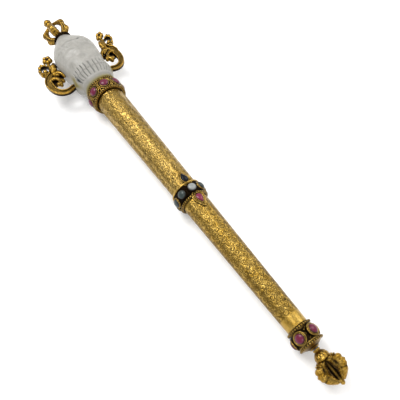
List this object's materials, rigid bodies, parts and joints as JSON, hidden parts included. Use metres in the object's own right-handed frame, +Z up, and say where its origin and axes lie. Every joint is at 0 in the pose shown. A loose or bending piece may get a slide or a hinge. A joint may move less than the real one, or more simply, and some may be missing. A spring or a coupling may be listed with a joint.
{
  "type": "sceptre",
  "caption": "Lying ceremonial sceptre: carved crystal skull between two side scrolls, chased gilt shaft with jewelled bands and a half-vajra finial at each end.",
  "frame": {"origin": "middle of the sceptre's bounding box in plan, on the table it lies on", "axes": "+X along the shaft from the butt to the head, +Z up out of the skull's face, +Y to the left of the face"},
  "size_m": [0.3533, 0.0697, 0.0362],
  "materials": {
    "fire_gilt_metal": "fire gilt, chased and worn, darker in the recesses",
    "rock_crystal": "polished, cloudy with inclusions",
    "ruby": "polished cabochon",
    "drop_ruby": "polished cabochon",
    "sapphire": "polished cabochon",
    "moonstone": "polished cabochon",
    "dark_green_stone": "polished cabochon"
  },
  "bodies": {
    "root": {"shaft": "fire_gilt_metal", "upper_collar": "fire_gilt_metal", "mid_band": "fire_gilt_metal", "lower_collar": "fire_gilt_metal", "top_finial": "fire_gilt_metal", "butt_finial": "fire_gilt_metal", "scroll_left": "fire_gilt_metal", "scroll_right": "fire_gilt_metal", "crystal_skull": "rock_crystal", "sapphire_drop": "sapphire", "ruby_drop": "drop_ruby", "ruby_upper_1": "ruby", "ruby_upper_2": "ruby", "ruby_upper_3": "ruby", "ruby_upper_4": "ruby", "ruby_upper_5": "ruby", "ruby_upper_6": "ruby", "ruby_upper_7": "ruby", "ruby_upper_8": "ruby", "ruby_lower_1": "ruby", "ruby_lower_2": "ruby", "ruby_lower_3": "ruby", "ruby_lower_4": "ruby", "ruby_lower_5": "ruby", "stone_band_1": "moonstone", "stone_band_2": "dark_green_stone", "stone_band_3": "dark_green_stone", "stone_band_4": "dark_green_stone", "stone_band_5": "dark_green_stone", "stone_band_6": "dark_green_stone", "stone_band_7": "dark_green_stone", "stone_band_8": "dark_green_stone"}
  },
  "joints": []
}
